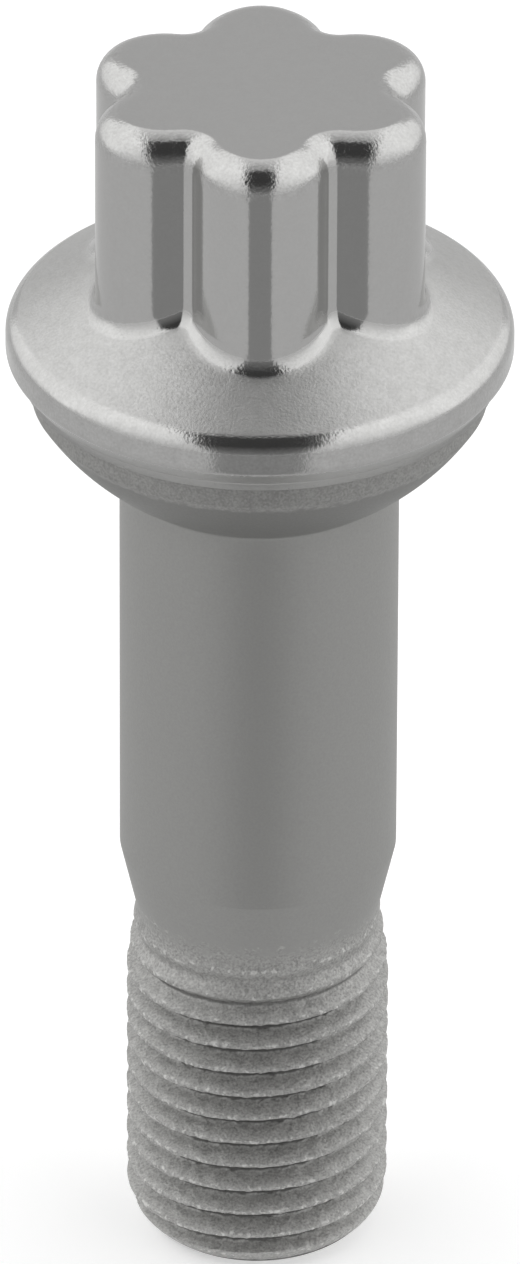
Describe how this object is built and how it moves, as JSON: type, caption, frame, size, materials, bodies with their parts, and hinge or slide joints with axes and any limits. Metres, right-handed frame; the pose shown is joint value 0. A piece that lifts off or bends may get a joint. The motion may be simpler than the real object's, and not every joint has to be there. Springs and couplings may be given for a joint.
{
  "type": "wheel bolt",
  "caption": "Wheel bolt with a ball seat, a plain shank, a fine thread and a lobed head under a bright drawn cover.",
  "frame": {"origin": "centre of the flat end face at the thread's point, which is the bottom of the part as it stands", "axes": "+Z along the bolt's axis, from the thread's point towards the head; -Y is the side that the picture shows, with one lobe of the head pointing that way"},
  "size_m": [0.0266, 0.0266, 0.0694],
  "materials": {
    "coated_steel": "forged and rolled steel with a matt grey flake coating",
    "bright_sheet": "drawn stainless sheet, bright with a fine satin grain"
  },
  "bodies": {
    "root": {"bolt_body": "coated_steel", "head_cap": "bright_sheet"}
  },
  "joints": []
}
